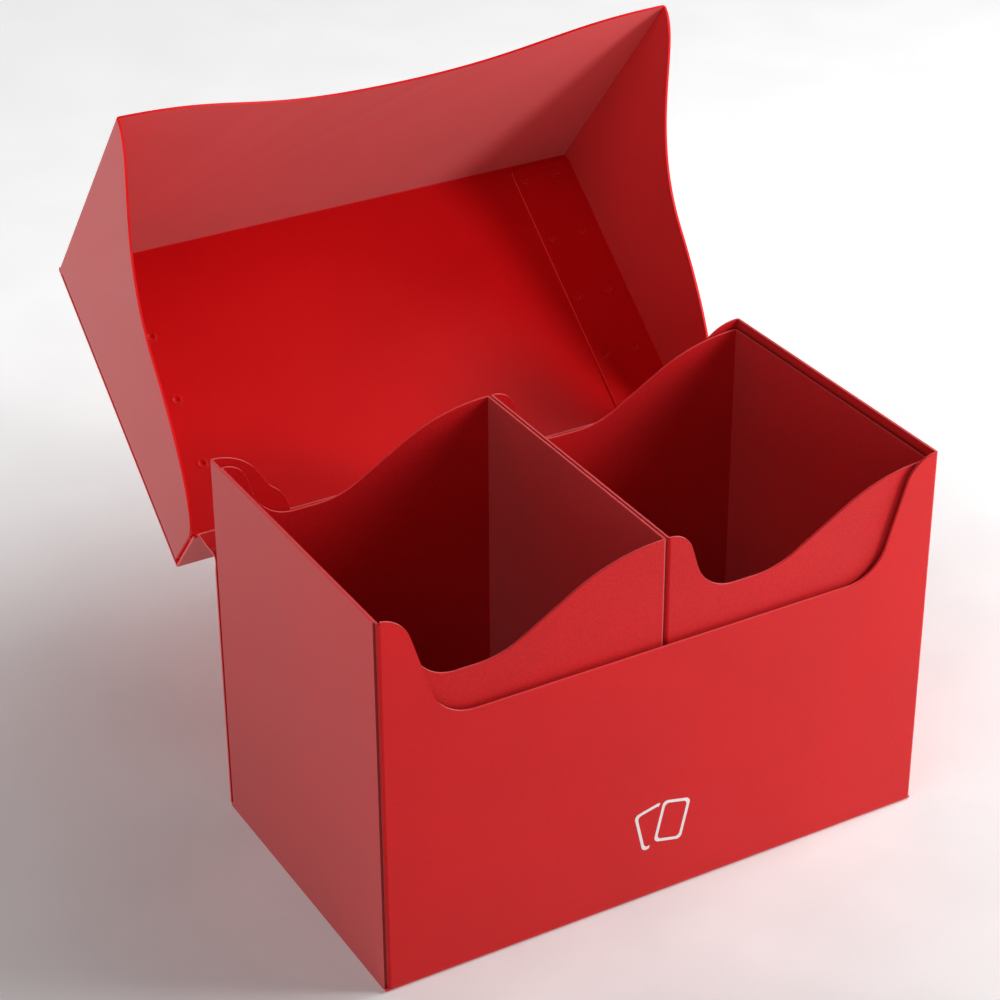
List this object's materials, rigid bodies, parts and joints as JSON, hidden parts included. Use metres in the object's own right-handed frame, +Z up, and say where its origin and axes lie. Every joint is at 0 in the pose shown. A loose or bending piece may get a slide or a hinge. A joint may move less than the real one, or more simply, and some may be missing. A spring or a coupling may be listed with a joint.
{
  "type": "card deck box",
  "caption": "Folded plastic-sheet box for decks of sleeved cards, with a flip-over lid on a double crease and loose side-by-side card trays.",
  "frame": {"origin": "centre of the underside of the box", "axes": "+Z up, -Y towards someone who faces the front, +X to their right"},
  "size_m": [0.1454, 0.1651, 0.1651],
  "materials": {
    "shell_sheet": "red polypropylene sheet, fine matte grain, slightly translucent at cut edges",
    "lid_sheet": "red polypropylene sheet, fine matte grain outside and satin inside",
    "tray_sheet": "red polypropylene sheet with a fine speckled grain"
  },
  "bodies": {
    "shell": {"body_front_panel": "shell_sheet", "body_left_panel": "shell_sheet", "body_right_panel": "shell_sheet", "body_back_panel": "shell_sheet", "body_bottom_panel": "shell_sheet", "body_front_glue_flap": "shell_sheet", "body_left_rear_flap": "shell_sheet", "body_right_rear_flap": "shell_sheet", "body_left_dust_flap": "shell_sheet", "body_right_dust_flap": "shell_sheet"},
    "hinge": {"hinge_panel": "lid_sheet"},
    "lid": {"lid_rear_strip": "lid_sheet", "lid_top_panel": "lid_sheet", "lid_front_flap": "lid_sheet", "lid_left_flap": "lid_sheet", "lid_right_flap": "lid_sheet", "lid_left_weld_tab": "lid_sheet", "lid_right_weld_tab": "lid_sheet"},
    "tray_left": {"tray_left_front_wall": "tray_sheet", "tray_left_back_wall": "tray_sheet", "tray_left_left_wall": "tray_sheet", "tray_left_right_wall": "tray_sheet", "tray_left_floor": "tray_sheet"},
    "tray_right": {"tray_right_front_wall": "tray_sheet", "tray_right_back_wall": "tray_sheet", "tray_right_left_wall": "tray_sheet", "tray_right_right_wall": "tray_sheet", "tray_right_floor": "tray_sheet"}
  },
  "joints": [
    {"name": "lower_crease", "type": "hinge", "parent": "shell", "child": "hinge", "pos_m": [0, 0.0405, 0.0698], "axis": [-1, 0, 0], "range_deg": [-79.5, 20.5]},
    {"name": "upper_crease", "type": "hinge", "parent": "hinge", "child": "lid", "pos_m": [0, 0.04886, 0.07135], "axis": [-1, 0, 0], "range_deg": [-60.6, 39.4]},
    {"name": "tray_left_lift", "type": "slide", "parent": "shell", "child": "tray_left", "axis": [0, 0, 1], "range_m": [0, 0.002]},
    {"name": "tray_right_lift", "type": "slide", "parent": "shell", "child": "tray_right", "axis": [0, 0, 1], "range_m": [0, 0.002]}
  ]
}
